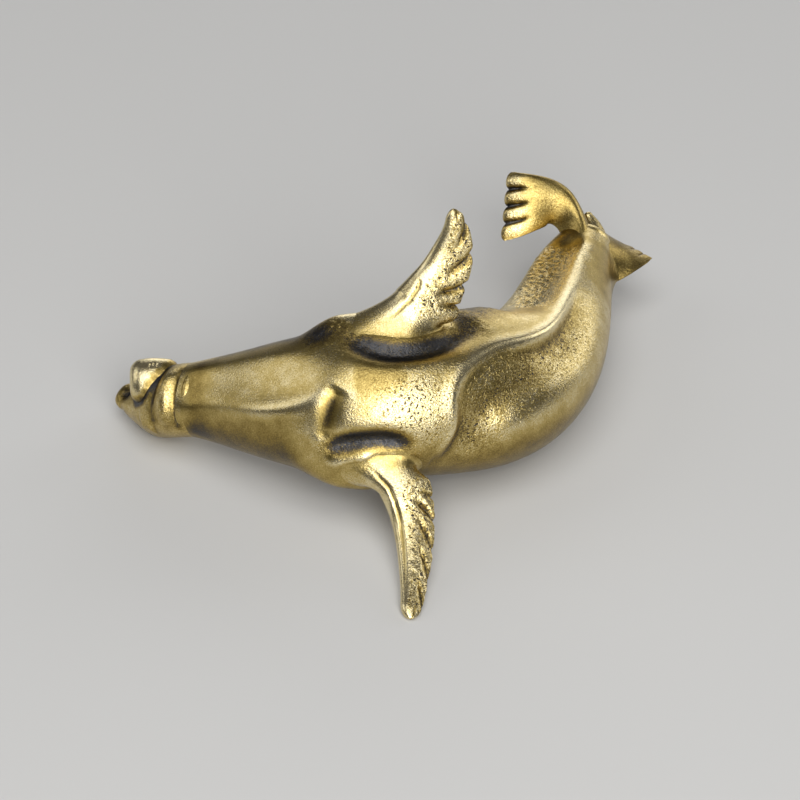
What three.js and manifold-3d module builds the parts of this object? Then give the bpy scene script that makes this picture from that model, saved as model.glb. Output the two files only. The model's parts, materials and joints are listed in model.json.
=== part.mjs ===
// Cast brass sea lion lying on its back: eight cast members, each set into its neighbour by a spigot.
// Millimetres, +Z up. The table is z = 0, and the origin is the middle of the flat under the hip.
// +X runs from head to tail and +Y away from the resting flipper. The animal's left is the far side.

import * as THREE from 'three';
import Module from 'manifold-3d';

const wasm = await Module();
wasm.setup();

// Joints between the members.
const jointGap = 0.3;
const spigotSides = 10;
const headSpigot = { radius: 1.6, depth: 2.2 };
const jawSpigot = { radius: 0.7, depth: 0.9 };
const foreSpigot = { radius: 0.9, depth: 2.0 };
const hindSpigot = { radius: 0.6, depth: 1.1 };
const tailSpigot = { radius: 0.5, depth: 1.6 };

// Mesh fineness.
const bodyRows = 80;
const bodySides = 52;
const headRows = 16;
const headSides = 22;
const smallRows = 8;
const smallSides = 14;
const flatCapRows = 2;
const roundCapRows = 3;
const deepestInset = 0.9;
const finRows = 20;
const finRootRows = 6;
const foreSides = 18;
const hindSides = 28;
const strokeSteps = 6;

// Main lengths, each from where a member starts to its far end.
const neckLength = 19.8;
const hindLength = 21.7;
const headLength = 8.7;
const jawStandOff = 3.4;
const tailLength = 3.1;
const raisedFlipperLength = 13.1;
const restingFlipperLength = 16.9;
const leftHindLength = 10.4;
const rightHindLength = 6.7;

// Body stations from nape to tail root: the spine's place, the half widths to the animal's right and left,
// the depths to belly and back, and the roll of the belly from straight up towards the near side.
// The trunk lies where it is given. The neck's places run from the shoulder, and the hind body's from the hip.
const neckStations = [
  { at: [-17.9, 6.9, -5.0], right: 3.9, left: 3.9, belly: 3.6, back: 3.9, roll: 32 },
  { at: [-14.8, 6.2, -4.4], right: 4.6, left: 4.6, belly: 4.1, back: 4.4, roll: 32 },
  { at: [-10.9, 4.3, -3.1], right: 5.7, left: 5.7, belly: 5.0, back: 5.2, roll: 32 },
  { at: [-5.4, 1.6, -1.1], right: 7.3, left: 7.3, belly: 6.3, back: 6.8, roll: 32 },
];
const trunkStations = [
  { at: [-19.6, -12.7, 10.7], right: 8.1, left: 8.1, belly: 7.2, back: 7.6, roll: 32 },
  { at: [-14.3, -12.3, 10.6], right: 8.2, left: 8.2, belly: 7.6, back: 8.1, roll: 31 },
  { at: [-8.9, -10.1, 9.5], right: 8.4, left: 8.4, belly: 7.8, back: 8.3, roll: 29 },
  { at: [-3.5, -7.1, 8.2], right: 8.5, left: 8.1, belly: 8.1, back: 8.3, roll: 27 },
  { at: [1.0, -0.7, 7.1], right: 7.3, left: 7.0, belly: 7.2, back: 7.4, roll: 24 },
];
const hindStations = [
  { at: [2.8, 9.6, -0.8], right: 5.6, left: 5.7, belly: 5.7, back: 6.4, roll: 20 },
  { at: [4.5, 16.7, -0.1], right: 4.1, left: 5.0, belly: 4.4, back: 5.0, roll: 18 },
  { at: [6.0, 20.8, 1.0], right: 2.6, left: 3.3, belly: 2.6, back: 3.1, roll: 18 },
];
const napeRound = 0.7;
const tailRootRound = 1.2;

// The throat is planed flat from the nape to the chest, and so is the inner face of the hind body: the angle a
// flat faces, the share of the plain radius that is left, the softness of its edges, and the stations over
// which it comes in and goes out.
const throatFlat = { angle: 0, share: 0.9, softness: 0.5, comesIn: [-0.4, 0.8], goesOut: [2.8, 4.0] };
const innerFlat = { angle: 34, share: 0.8, softness: 0.4, comesIn: [7.2, 8.6], goesOut: [10.3, 11.0] };

// Furrows and welts on the body. A path is a run of [station, degrees from the belly towards the left], and the
// fade is the share of the path over which each end dies out.
const nearArmpit = {
  path: [[3.7, -60], [4.0, -53], [4.35, -50], [4.75, -53], [5.05, -64], [5.2, -76]],
  width: 1.0,
  height: -1.0,
  fade: 0.15,
};
const farArmpit = {
  path: [[3.8, 44], [4.2, 30], [4.65, 20], [5.3, 17], [5.8, 24], [6.2, 36], [6.6, 32]],
  width: 1.1,
  height: -1.2,
  fade: 0.15,
};
const nearShoulder = {
  path: [[2.9, -78], [3.5, -86], [4.1, -94], [4.7, -97], [5.1, -95]],
  width: 2.5,
  height: 1.9,
  fade: 0.45,
};
const nearRim = { path: [[3.7, -74], [4.1, -67], [4.5, -66]], width: 0.7, height: 0.4, fade: 0.3 };
const farShoulder = {
  path: [[2.9, 58], [3.4, 63], [4.0, 66], [4.6, 66], [5.2, 63], [5.8, 58]],
  width: 2.1,
  height: 2.3,
  fade: 0.36,
};
const farFlank = { path: [[5.9, 58], [6.4, 62], [7.0, 62], [7.5, 58]], width: 2.8, height: 0.9, fade: 0.3 };
const throatEdge = {
  path: [[4.05, -6], [3.9, -14], [3.45, -26], [2.8, -35], [1.35, -38]],
  width: 1.0,
  height: 0.3,
  fade: 0.25,
};
const throatStep = {
  path: [[4.0, -8], [3.88, -20], [3.82, -36], [3.75, -56]],
  width: 1.0,
  height: -0.35,
  fade: 0.15,
};
const innerHollow = { path: [[7.9, 26], [8.7, 33], [9.6, 35], [10.7, 30]], width: 1.7, height: -0.6, fade: 0.2 };

// The keel runs from the chest round the belly and along the hind body. Beside it, round a line of its own,
// lies a long scoop.
const keel = {
  path: [
    [5.3, -68], [5.5, -52], [5.47, -36], [5.45, -21], [5.65, -4], [6.05, 6], [6.5, 11], [7.1, -2],
    [7.6, -9], [8.25, -10], [9.0, -9], [9.8, -9], [10.5, -5],
  ],
  width: 1.2,
  height: 0.4,
  comesIn: [0.08, 0.32],
  goesOut: [0.92, 1.0],
};
const scoop = {
  path: [[5.8, -56], [5.95, -40], [6.3, -27], [6.8, -21], [7.4, -22], [8.2, -25], [8.9, -26]],
  width: 3.4,
  depth: 1.2,
  edge: 1.7,
  goesOut: [0.7, 1.0],
};

// Head stations from nose to throat ring, in the same terms as the body's, placed from the nape.
const headStations = [
  { at: [-6.7, 4.6, -3.1], right: 1.7, left: 1.7, belly: 1.2, back: 1.5, roll: 8 },
  { at: [-5.8, 4.1, -2.9], right: 2.4, left: 2.3, belly: 1.5, back: 2.4, roll: 8 },
  { at: [-4.4, 3.2, -2.4], right: 3.1, left: 2.9, belly: 1.8, back: 3.6, roll: 8 },
  { at: [-3.1, 2.2, -1.8], right: 3.8, left: 3.5, belly: 2.5, back: 4.4, roll: 10 },
  { at: [-1.8, 1.1, -1.0], right: 4.0, left: 3.9, belly: 3.7, back: 4.1, roll: 18 },
  { at: [-0.9, 0.4, -0.5], right: 4.0, left: 4.0, belly: 3.9, back: 3.9, roll: 26 },
];
const jawStation = 2;
const noseRound = 1.2;
const throatRingRound = 0.6;

// Lower jaw stations from chin to throat, placed from the head's middle line at the station that carries it.
const jawStations = [
  { at: [-0.64, -0.7, 3.0], right: 2.0, left: 2.0, belly: 1.8, back: 1.5, roll: 20 },
  { at: [0.06, -0.8, 3.15], right: 2.5, left: 2.5, belly: 2.2, back: 1.9, roll: 20 },
  { at: [0.86, -1.0, 3.1], right: 2.1, left: 2.1, belly: 1.6, back: 1.5, roll: 20 },
];
const chinRound = 1.4;
const jawBackRound = 1.4;

// Tail stations from root to tip, placed from the tail root.
const tailStations = [
  { at: [0.3, -0.7, -0.2], right: 1.9, left: 1.9, belly: 1.5, back: 1.5, roll: 18 },
  { at: [0.7, 1.2, 0.4], right: 1.4, left: 1.4, belly: 1.1, back: 1.1, roll: 18 },
  { at: [0.6, 2.8, 1.1], right: 0.8, left: 0.8, belly: 0.6, back: 0.6, roll: 18 },
];
const tailRound = 0.45;

// Flippers. Rows run from root to tip: middle of the chord, reach to the leading and trailing edges, half
// thickness, and the way the chord points. A root is an oval on the body: station, degrees, its reach in
// stations ahead and behind, its half width in degrees, and how far it leans over ahead. The rows are placed
// from the middle of that oval. The left hind flipper has none: its rows are placed from the tail root and
// start inside it. A spigot starts at the ankle row, where the blade stands clear of the body.
const alongBody = [1, 0, 0];
const rightFore = {
  rows: [
    { at: [1.5, -0.7, 1.4], lead: 3.1, trail: 2.6, thick: 1.2, chord: alongBody },
    { at: [2.3, -2.4, -0.9], lead: 2.5, trail: 2.5, thick: 1.0, chord: alongBody },
    { at: [2.8, -5.2, -2.7], lead: 2.0, trail: 2.1, thick: 0.8, chord: alongBody },
    { at: [2.9, -8.5, -4.0], lead: 1.7, trail: 1.7, thick: 0.7, chord: alongBody },
    { at: [2.7, -12.2, -5.2], lead: 1.2, trail: 1.2, thick: 0.6, chord: alongBody },
    { at: [2.2, -15.7, -5.9], lead: 1.0, trail: 1.0, thick: 0.55, chord: alongBody },
  ],
  length: restingFlipperLength,
  root: { station: 4.65, angle: -88, ahead: 0.9, behind: 0.55, degrees: 15, lean: 0, turn: 0 },
  rootPull: 1.2,
  ankleRow: 0.5,
  feathers: { count: 5.2, phase: 0.22, notch: 0.14 },
};
const leftFore = {
  rows: [
    { at: [2.1, 1.9, 0.3], lead: 3.9, trail: 3.8, thick: 1.9, chord: alongBody },
    { at: [2.8, 2.7, 1.8], lead: 3.0, trail: 3.4, thick: 1.35, chord: alongBody },
    { at: [3.9, 3.7, 3.5], lead: 2.4, trail: 3.0, thick: 0.9, chord: alongBody },
    { at: [5.0, 4.8, 5.9], lead: 2.0, trail: 2.6, thick: 0.65, chord: alongBody },
    { at: [5.5, 5.4, 8.5], lead: 1.3, trail: 1.4, thick: 0.55, chord: alongBody },
    { at: [5.1, 6.1, 10.4], lead: 0.7, trail: 0.6, thick: 0.45, chord: alongBody },
  ],
  length: raisedFlipperLength,
  root: { station: 5.05, angle: 50, ahead: 1.6, behind: 0.95, degrees: 16, lean: 15, turn: 0 },
  rootPull: 1.4,
  ankleRow: 1,
  feathers: { count: 4.3, phase: 0.31, notch: 0.25 },
};
const leftHind = {
  rows: [
    { at: [-1.6, -1.7, 0.5], lead: 1.3, trail: 1.3, thick: 1.2, chord: [-0.8, -0.6, -0.8] },
    { at: [-1.6, 0.3, 1.7], lead: 1.7, trail: 1.7, thick: 1.3, chord: [-0.8, -0.6, -0.8] },
    { at: [-2.3, 1.8, 2.85], lead: 2.1, trail: 2.1, thick: 1.1, chord: [-0.6, -0.6, -0.8] },
    { at: [-3.8, 2.3, 4.0], lead: 2.6, trail: 2.6, thick: 0.9, chord: [-0.2, -0.6, -0.8] },
    { at: [-6.2, 1.6, 4.5], lead: 3.2, trail: 3.2, thick: 0.8, chord: [0, -0.6, -0.8] },
    { at: [-8.2, 1.7, 3.9], lead: 3.7, trail: 3.7, thick: 0.65, chord: [-0.15, -0.6, -0.8] },
    { at: [-9.6, 2.7, 2.9], lead: 3.8, trail: 3.8, thick: 0.55, chord: [-0.2, -0.6, -0.8] },
  ],
  length: leftHindLength,
  ankleRow: 2,
  toes: { length: 0.9, thinning: 0.6, slant: 0.85 },
};
const rightHind = {
  rows: [
    { at: [-0.2, 3.0, 0.8], lead: 3.4, trail: 3.2, thick: 0.9, chord: [-0.2, -0.95, -0.25] },
    { at: [1.0, 3.9, 0.3], lead: 3.2, trail: 3.0, thick: 0.75, chord: [-0.15, -0.97, 0.03] },
    { at: [2.2, 4.9, -0.2], lead: 2.8, trail: 2.8, thick: 0.6, chord: [-0.1, -0.95, 0.25] },
    { at: [3.2, 5.8, -0.8], lead: 2.5, trail: 2.5, thick: 0.5, chord: [0, -0.9, 0.42] },
  ],
  length: rightHindLength,
  root: { station: 10.2, angle: -95, ahead: 0.8, behind: 0.8, degrees: 28, lean: 0, turn: 180 },
  rootPull: 0.6,
  ankleRow: 1,
  toes: { length: 0, thinning: 0, slant: 0 },
};
const rootHandle = 0.55;
const tipShare = 0.1;
const trailingThinness = 0.5;
const featherSlant = 0.22;
const featherThinning = 0.6;
const toeCount = 4;

const brass = new THREE.MeshStandardMaterial({ color: 0xb5964c, roughness: 0.32, metalness: 1.0 });

// Small maths.

function vec([x, y, z]) {
  return new THREE.Vector3(x, y, z);
}

function smoothStep(from, to, x) {
  return THREE.MathUtils.smoothstep(x, from, to);
}

// Uniform cubic B-spline through the run of equal-length rows, at places from 0 to the last row.
function spline(rows, place) {
  const last = rows.length - 1;
  const first = Math.min(Math.max(Math.floor(place), 0), last - 1);
  const t = place - first;
  const weights = [
    (1 - t) ** 3 / 6,
    (3 * t ** 3 - 6 * t ** 2 + 4) / 6,
    (-3 * t ** 3 + 3 * t ** 2 + 3 * t + 1) / 6,
    t ** 3 / 6,
  ];
  const row = (i, c) => {
    if (i < 0) {
      return 2 * rows[0][c] - rows[1][c];
    }
    if (i > last) {
      return 2 * rows[last][c] - rows[last - 1][c];
    }
    return rows[i][c];
  };
  return rows[0].map((_, c) => weights.reduce((sum, w, k) => sum + w * row(first - 1 + k, c), 0));
}

// Point and direction of a spline of places.
function splineFrame(rows, place) {
  const step = 1e-3;
  const last = rows.length - 1;
  const ahead = vec(spline(rows, Math.min(place + step, last)));
  const behind = vec(spline(rows, Math.max(place - step, 0)));
  return { centre: vec(spline(rows, place)), tangent: ahead.sub(behind).normalize() };
}

// A direction freed of its part along the tangent.
function squareTo(tangent, direction) {
  return direction.clone().addScaledVector(tangent, -direction.dot(tangent)).normalize();
}

// Rows placed from an anchor, drawn out so that the furthest of them lies at the length given.
function drawnOut(rows, anchor, length) {
  const reach = Math.max(...rows.map((row) => vec(row.at).length()));
  const placed = (row) => vec(row.at).multiplyScalar(length / reach).add(anchor).toArray();
  return rows.map((row) => ({ ...row, at: placed(row) }));
}

function softMin(a, b, softness) {
  const h = THREE.MathUtils.clamp(0.5 + (0.5 * (b - a)) / softness, 0, 1);
  return b + (a - b) * h - softness * h * (1 - h);
}

// Closed surfaces.

// Rings of points, each a closed loop of equal length, become one closed surface. Points that coincide are
// one, so a ring may shrink to a point or fold into an edge, and the triangles that vanish are left out.
function ringsGeometry(rings) {
  const sides = rings[0].length;
  const finest = 1e-4;
  const known = new Map();
  const places = [];
  const numberOf = (point) => {
    const key = point.toArray().map((c) => Math.round(c / finest)).join();
    if (!known.has(key)) {
      known.set(key, known.size);
      places.push(...point.toArray());
    }
    return known.get(key);
  };
  const numbers = rings.map((ring) => ring.map(numberOf));
  const index = [];
  const addTriangle = (a, b, c) => {
    if (a !== b && b !== c && c !== a) {
      index.push(a, b, c);
    }
  };
  for (let i = 0; i < rings.length - 1; i += 1) {
    for (let j = 0; j < sides; j += 1) {
      const next = (j + 1) % sides;
      addTriangle(numbers[i][j], numbers[i + 1][j], numbers[i + 1][next]);
      addTriangle(numbers[i][j], numbers[i + 1][next], numbers[i][next]);
    }
  }
  const geometry = new THREE.BufferGeometry();
  geometry.setAttribute('position', new THREE.Float32BufferAttribute(places, 3));
  geometry.setIndex(index);
  return geometry;
}

function solidOf(geometry) {
  const vertProperties = new Float32Array(geometry.attributes.position.array);
  const triVerts = new Uint32Array(geometry.index.array);
  return new wasm.Manifold(new wasm.Mesh({ numProp: 3, vertProperties, triVerts }));
}

function geometryOf(solid) {
  const { vertProperties, triVerts } = solid.getMesh();
  const geometry = new THREE.BufferGeometry();
  geometry.setAttribute('position', new THREE.Float32BufferAttribute(vertProperties, 3));
  geometry.setIndex(new THREE.Uint32BufferAttribute(triVerts, 1));
  geometry.computeVertexNormals();
  return geometry;
}

// A round peg between two points, as a closed ring surface.
function peg(from, to, radius) {
  const tangent = to.clone().sub(from).normalize();
  const across = squareTo(tangent, Math.abs(tangent.z) < 0.9 ? vec([0, 0, 1]) : vec([1, 0, 0]));
  const other = new THREE.Vector3().crossVectors(across, tangent);
  const ring = (centre) => Array.from({ length: spigotSides }, (_, k) => {
    const turn = (2 * Math.PI * k) / spigotSides;
    return centre.clone()
      .addScaledVector(across, radius * Math.cos(turn))
      .addScaledVector(other, radius * Math.sin(turn));
  });
  const rings = [new Array(spigotSides).fill(from), ring(from), ring(to), new Array(spigotSides).fill(to)];
  return solidOf(ringsGeometry(rings));
}

// Everything below the table, for cutting the resting flats.
function belowTable() {
  const reach = 200;
  const ring = (side, z) => [[-1, -1], [1, -1], [1, 1], [-1, 1]]
    .map(([x, y]) => vec([x * side * reach, y * side * reach, z]));
  return solidOf(ringsGeometry([ring(0, -reach), ring(1, -reach), ring(1, 0), ring(0, 0)].reverse()));
}

// Lofts: oval sections square to a spine, with rounded ends.

class Loft {
  constructor(stations, frontRound, backRound, shapeRadius = (station, angle, radius) => radius) {
    this.spine = stations.map((s) => s.at);
    this.sizes = stations.map((s) => [s.right, s.left, s.belly, s.back, s.roll]);
    this.last = stations.length - 1;
    this.frontRound = frontRound;
    this.backRound = backRound;
    this.shapeRadius = shapeRadius;
    this.strokes = [];
  }

  // Section frame at a station: the belly side, the left side and the sizes.
  frame(station) {
    const { centre, tangent } = splineFrame(this.spine, station);
    const [right, left, belly, back, roll] = spline(this.sizes, station);
    const turn = THREE.MathUtils.degToRad(roll);
    const bellyward = squareTo(tangent, vec([0, -Math.sin(turn), Math.cos(turn)]));
    const leftward = new THREE.Vector3().crossVectors(bellyward, tangent);
    return { centre, tangent, bellyward, leftward, right, left, belly, back };
  }

  // Point of the plain loft. A capped row is drawn in by inset, shrunk by scale and pushed along the spine.
  plain(station, angle, { scale = 1, inset = 0, push = 0 } = {}) {
    const f = this.frame(station);
    const turn = THREE.MathUtils.degToRad(angle);
    const [across, along] = [Math.sin(turn), Math.cos(turn)];
    const width = across > 0 ? f.left : f.right;
    const depth = along > 0 ? f.belly : f.back;
    const oval = 1 / Math.hypot(across / width, along / depth);
    const full = this.shapeRadius(station, angle, oval);
    const radius = (full - Math.min(inset, full * deepestInset)) * scale;
    return f.centre
      .addScaledVector(f.tangent, push)
      .addScaledVector(f.leftward, radius * across)
      .addScaledVector(f.bellyward, radius * along);
  }

  strokeLift(point) {
    return this.strokes.reduce((sum, stroke) => sum + stroke(point), 0);
  }

  // Point of the finished surface, strokes included.
  surface(station, angle) {
    const step = 0.01;
    const point = this.plain(station, angle);
    const du = this.plain(Math.min(station + step, this.last), angle)
      .sub(this.plain(Math.max(station - step, 0), angle));
    const dv = this.plain(station, angle + 0.5).sub(this.plain(station, angle - 0.5));
    const normal = du.cross(dv).normalize();
    return point.addScaledVector(normal, this.strokeLift(point));
  }

  // Rows that close one end, from its middle to its rim.
  static capRows(station, round, sign) {
    const rows = [];
    for (let k = 0; k < flatCapRows; k += 1) {
      rows.push({ station, scale: k / flatCapRows, inset: round, push: sign * round });
    }
    for (let k = 0; k < roundCapRows; k += 1) {
      const turn = (k / roundCapRows) * (Math.PI / 2);
      rows.push({ station, inset: round * (1 - Math.sin(turn)), push: sign * round * Math.cos(turn) });
    }
    return rows;
  }

  // Rings of the whole surface, lifted off it by a clearance where a neighbour is to be cut.
  rings(rowCount, sides, clearance = 0) {
    const middle = Array.from({ length: rowCount }, (_, k) => ({ station: (k / (rowCount - 1)) * this.last }));
    const rows = [
      ...Loft.capRows(0, this.frontRound, -1),
      ...middle,
      ...Loft.capRows(this.last, this.backRound, 1).reverse(),
    ];
    const angles = Array.from({ length: sides }, (_, j) => -180 + (360 * j) / sides);
    const grid = rows.map((row) => angles.map((angle) => this.plain(row.station, angle, row)));
    const end = grid.length - 1;
    return grid.map((ring, i) => ring.map((point, j) => {
      if (i === 0 || i === end) {
        const { tangent } = this.frame(rows[i].station);
        return point.clone().addScaledVector(tangent, i === 0 ? -clearance : clearance);
      }
      const du = grid[i + 1][j].clone().sub(grid[i - 1][j]);
      const dv = ring[(j + 1) % sides].clone().sub(ring[(j + sides - 1) % sides]);
      return point.clone().addScaledVector(du.cross(dv).normalize(), this.strokeLift(point) + clearance);
    }));
  }

  solid(rowCount, sides, clearance = 0) {
    return solidOf(ringsGeometry(this.rings(rowCount, sides, clearance)));
  }
}

// Strokes: furrows and welts along a run on a loft.

// Run of points on the plain loft along a path of stations and angles.
function runOn(loft, path) {
  const steps = (path.length - 1) * strokeSteps;
  return Array.from({ length: steps + 1 }, (_, k) => {
    const [station, angle] = spline(path, k / strokeSteps);
    return loft.plain(station, angle);
  });
}

// Nearest place on a run: distance, side (right of the run, seen from the belly, is -1) and share of the run.
function nearestOn(run, point, seenFrom) {
  let best = { distance: Infinity, side: 1, share: 0 };
  for (let k = 0; k < run.length - 1; k += 1) {
    const ahead = run[k + 1].clone().sub(run[k]);
    const offset = point.clone().sub(run[k]);
    const t = THREE.MathUtils.clamp(offset.dot(ahead) / ahead.lengthSq(), 0, 1);
    offset.addScaledVector(ahead, -t);
    if (offset.length() < best.distance) {
      const distance = offset.length();
      const side = Math.sign(ahead.cross(offset).dot(seenFrom));
      best = { distance, side, share: (k + t) / (run.length - 1) };
    }
  }
  return best;
}

// 1 over a run, coming in over the first pair of places and going out over the second.
function window(comesIn, goesOut, place) {
  return smoothStep(...comesIn, place) * (1 - smoothStep(...goesOut, place));
}

// A rounded welt, or a furrow where the height is negative, that dies out at both ends.
function welt(loft, { path, width, height, fade }) {
  const run = runOn(loft, path);
  const seenFrom = vec([0, 0, 1]);
  return (point) => {
    const { distance, share } = nearestOn(run, point, seenFrom);
    return height * Math.exp(-((distance / width) ** 2)) * window([0, fade], [1 - fade, 1], share);
  };
}

// The keel's welt, with the scoop that falls away on its right and comes back slowly round its own line.
function keelStroke(loft) {
  const keelRun = runOn(loft, keel.path);
  const scoopRun = runOn(loft, scoop.path);
  const seenFrom = vec([0, -0.6, 0.8]);
  return (point) => {
    const { distance, side, share } = nearestOn(keelRun, point, seenFrom);
    const { distance: away, share: along } = nearestOn(scoopRun, point, seenFrom);
    const ridge = keel.height * Math.exp(-((distance / keel.width) ** 2))
      * window(keel.comesIn, keel.goesOut, share);
    const hollow = smoothStep(0, scoop.edge, distance) * Math.exp(-((away / scoop.width) ** 2))
      * (1 - smoothStep(...scoop.goesOut, along));
    return ridge - (side < 0 ? scoop.depth * hollow : 0);
  };
}

// Flippers: blades of drop-shaped section that grow out of an oval on the body.

class Flipper {
  constructor(shape, host, detail) {
    this.shape = shape;
    this.host = host;
    this.detail = detail;
    const { root } = shape;
    const anchor = root ? host.surface(root.station, root.angle) : vec(host.spine.at(-1));
    this.path = drawnOut(shape.rows, anchor, shape.length).map((r) => r.at);
    this.sizes = shape.rows.map((r) => [r.lead, r.trail, r.thick, ...r.chord]);
  }

  // Blade point at a share of the length, at a turn round the section from the leading edge.
  blade(share, turn) {
    const place = share * (this.path.length - 1);
    const { centre, tangent } = splineFrame(this.path, place);
    const [lead, trail, thick, ...chord] = spline(this.sizes, place);
    const chordward = squareTo(tangent, vec(chord));
    const faceward = new THREE.Vector3().crossVectors(tangent, chordward);
    const x = -Math.cos(turn);
    const close = Math.sqrt(1 - Math.max((share - (1 - tipShare)) / tipShare, 0) ** 2);
    const section = {
      share,
      x,
      reach: x * (x < 0 ? lead : trail),
      height: Math.sin(turn) * thick * (1 - trailingThinness * x) * close,
      ahead: 0,
      close,
    };
    this.detail(section);
    return centre
      .addScaledVector(chordward, section.reach)
      .addScaledVector(faceward, section.height)
      .addScaledVector(tangent, section.ahead);
  }

  rootPoint(turn, size) {
    const { station, angle, ahead, behind, degrees, lean, turn: offset } = this.shape.root;
    const around = turn + THREE.MathUtils.degToRad(offset);
    const forward = Math.cos(around) * size;
    return this.host.surface(
      station - (forward > 0 ? ahead : behind) * forward,
      angle + degrees * Math.sin(around) * size + lean * Math.max(forward, 0),
    );
  }

  // The spigot's line, from inside the blade into the body: through the middle of the root oval to the depth
  // given below it, or along the ankle.
  spigotLine(depth) {
    const { centre: from, tangent } = splineFrame(this.path, this.shape.ankleRow);
    if (!this.shape.root) {
      return { from, to: vec(this.path[0]), tangent };
    }
    const { station, angle } = this.shape.root;
    const seat = this.host.surface(station, angle);
    const inward = this.host.frame(station).centre.sub(seat).normalize();
    return { from, to: seat.addScaledVector(inward, depth), tangent };
  }

  // Rings from the oval on the body up to the first row of the blade.
  rootRings(turns) {
    const { to, tangent } = this.spigotLine(jointGap * 3);
    const start = turns.map((turn) => this.blade(0, turn));
    const outer = turns.map((turn) => this.rootPoint(turn, 1));
    const inner = turns.map((turn) => this.rootPoint(turn, rootHandle));
    const rings = Array.from({ length: finRootRows }, (_, i) => turns.map((_, j) => {
      const pulled = start[j].clone().addScaledVector(tangent, -this.shape.rootPull);
      return new THREE.CubicBezierCurve3(outer[j], inner[j], pulled, start[j]).getPoint(i / finRootRows);
    }));
    return [turns.map(() => to), ...rings];
  }

  rings(sides) {
    const turns = Array.from({ length: sides }, (_, j) => (2 * Math.PI * j) / sides);
    const root = this.shape.root ? this.rootRings(turns) : [turns.map(() => vec(this.path[0]))];
    const blade = Array.from({ length: finRows + 1 }, (_, i) => {
      const share = 1 - (1 - i / finRows) ** 1.3;
      return turns.map((turn) => this.blade(share, turn));
    });
    return [...root, ...blade];
  }

  solid(sides) {
    return solidOf(ringsGeometry(this.rings(sides)));
  }
}

// Slanting furrows that notch the trailing edge of a fore flipper.
function feathered({ count, phase, notch }) {
  return (section) => {
    const { share, x, close } = section;
    const on = window([0.04, 0.15], [0.88, 0.97], share);
    const gap = 1 - Math.abs(Math.sin(Math.PI * (count * (share + featherSlant * (1 - x)) + phase)));
    section.reach *= close * (1 - on * notch * Math.max(x, 0) ** 3 * gap ** 3);
    section.height *= 1 - on * smoothStep(0.05, 0.5, x) * featherThinning * gap ** 1.5;
  };
}

// Toes across the slanting end of a hind flipper, with furrows between them.
function toed({ length, thinning, slant }) {
  return (section) => {
    const { share, x } = section;
    const toe = Math.abs(Math.sin(Math.PI * toeCount * 0.5 * (x + 1)));
    section.height *= 1 - smoothStep(0.35, 0.75, share) * thinning * (1 - toe) ** 2 * (1 - x ** 6);
    section.ahead = smoothStep(0.5, 1, share) * slant * x + smoothStep(0.6, 1, share) * length * (toe - 1);
  };
}

// Members.

// A radius cut by a flat, as far as the flat has come in at the station.
function cutBy(flat, station, angle, radius) {
  const facing = Math.cos(THREE.MathUtils.degToRad(angle - flat.angle));
  const leastFacing = 0.15;
  if (facing < leastFacing) {
    return radius;
  }
  const planed = softMin(radius, (flat.share * radius) / facing, flat.softness);
  return radius + (planed - radius) * window(flat.comesIn, flat.goesOut, station);
}

function flattened(station, angle, radius) {
  return cutBy(innerFlat, station, angle, cutBy(throatFlat, station, angle, radius));
}

const bodyStations = [
  ...drawnOut(neckStations, vec(trunkStations[0].at), neckLength),
  ...trunkStations,
  ...drawnOut(hindStations, vec(trunkStations.at(-1).at), hindLength),
];
const bodyLoft = new Loft(bodyStations, napeRound, tailRootRound, flattened);
const welts = [
  nearArmpit, farArmpit, nearShoulder, nearRim, farShoulder, farFlank, throatEdge, throatStep, innerHollow,
];
bodyLoft.strokes = [...welts.map((shape) => welt(bodyLoft, shape)), keelStroke(bodyLoft)];
const headLoft = new Loft(
  drawnOut(headStations, vec(bodyStations[0].at), headLength),
  noseRound,
  throatRingRound,
);
const jawLoft = new Loft(
  drawnOut(jawStations, headLoft.frame(jawStation).centre, jawStandOff),
  chinRound,
  jawBackRound,
);
const tailLoft = new Loft(
  drawnOut(tailStations, vec(bodyStations.at(-1).at), tailLength),
  tailRound,
  tailRound,
);

const table = belowTable();
const clearBody = bodyLoft.solid(bodyRows, bodySides, jointGap);
const clearTail = tailLoft.solid(smallRows, smallSides, jointGap);
const sockets = [];

// A member trimmed to the gap off its host, with its spigot; the matching socket is kept for the host.
function seatedOn(clearHost, member, from, to, radius) {
  const inward = to.clone().sub(from).normalize();
  const bottom = to.clone().addScaledVector(inward, jointGap);
  return {
    member: member.subtract(clearHost).add(peg(from, to, radius)),
    socket: peg(from, bottom, radius + jointGap),
  };
}

function seatedFlipper(shape, detail, sides, spigot) {
  const flipper = new Flipper(shape, bodyLoft, detail);
  const { from, to } = flipper.spigotLine(spigot.depth);
  const { member, socket } = seatedOn(clearBody, flipper.solid(sides), from, to, spigot.radius);
  sockets.push(socket);
  return member.subtract(clearTail);
}

const members = {};
members.left_fore_flipper = seatedFlipper(leftFore, feathered(leftFore.feathers), foreSides, foreSpigot);
members.right_fore_flipper = seatedFlipper(rightFore, feathered(rightFore.feathers), foreSides, foreSpigot)
  .subtract(table);
members.left_hind_flipper = seatedFlipper(leftHind, toed(leftHind.toes), hindSides, hindSpigot);
members.right_hind_flipper = seatedFlipper(rightHind, toed(rightHind.toes), hindSides, hindSpigot);

const tailEnd = bodyLoft.frame(bodyLoft.last);
const tailSeat = seatedOn(
  clearBody,
  tailLoft.solid(smallRows, smallSides),
  tailEnd.centre.clone().addScaledVector(tailEnd.tangent, tailRootRound + jointGap * 2),
  tailEnd.centre.clone().addScaledVector(tailEnd.tangent, tailRootRound - tailSpigot.depth),
  tailSpigot.radius,
);
members.tail = tailSeat.member;
sockets.push(tailSeat.socket);

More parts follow.
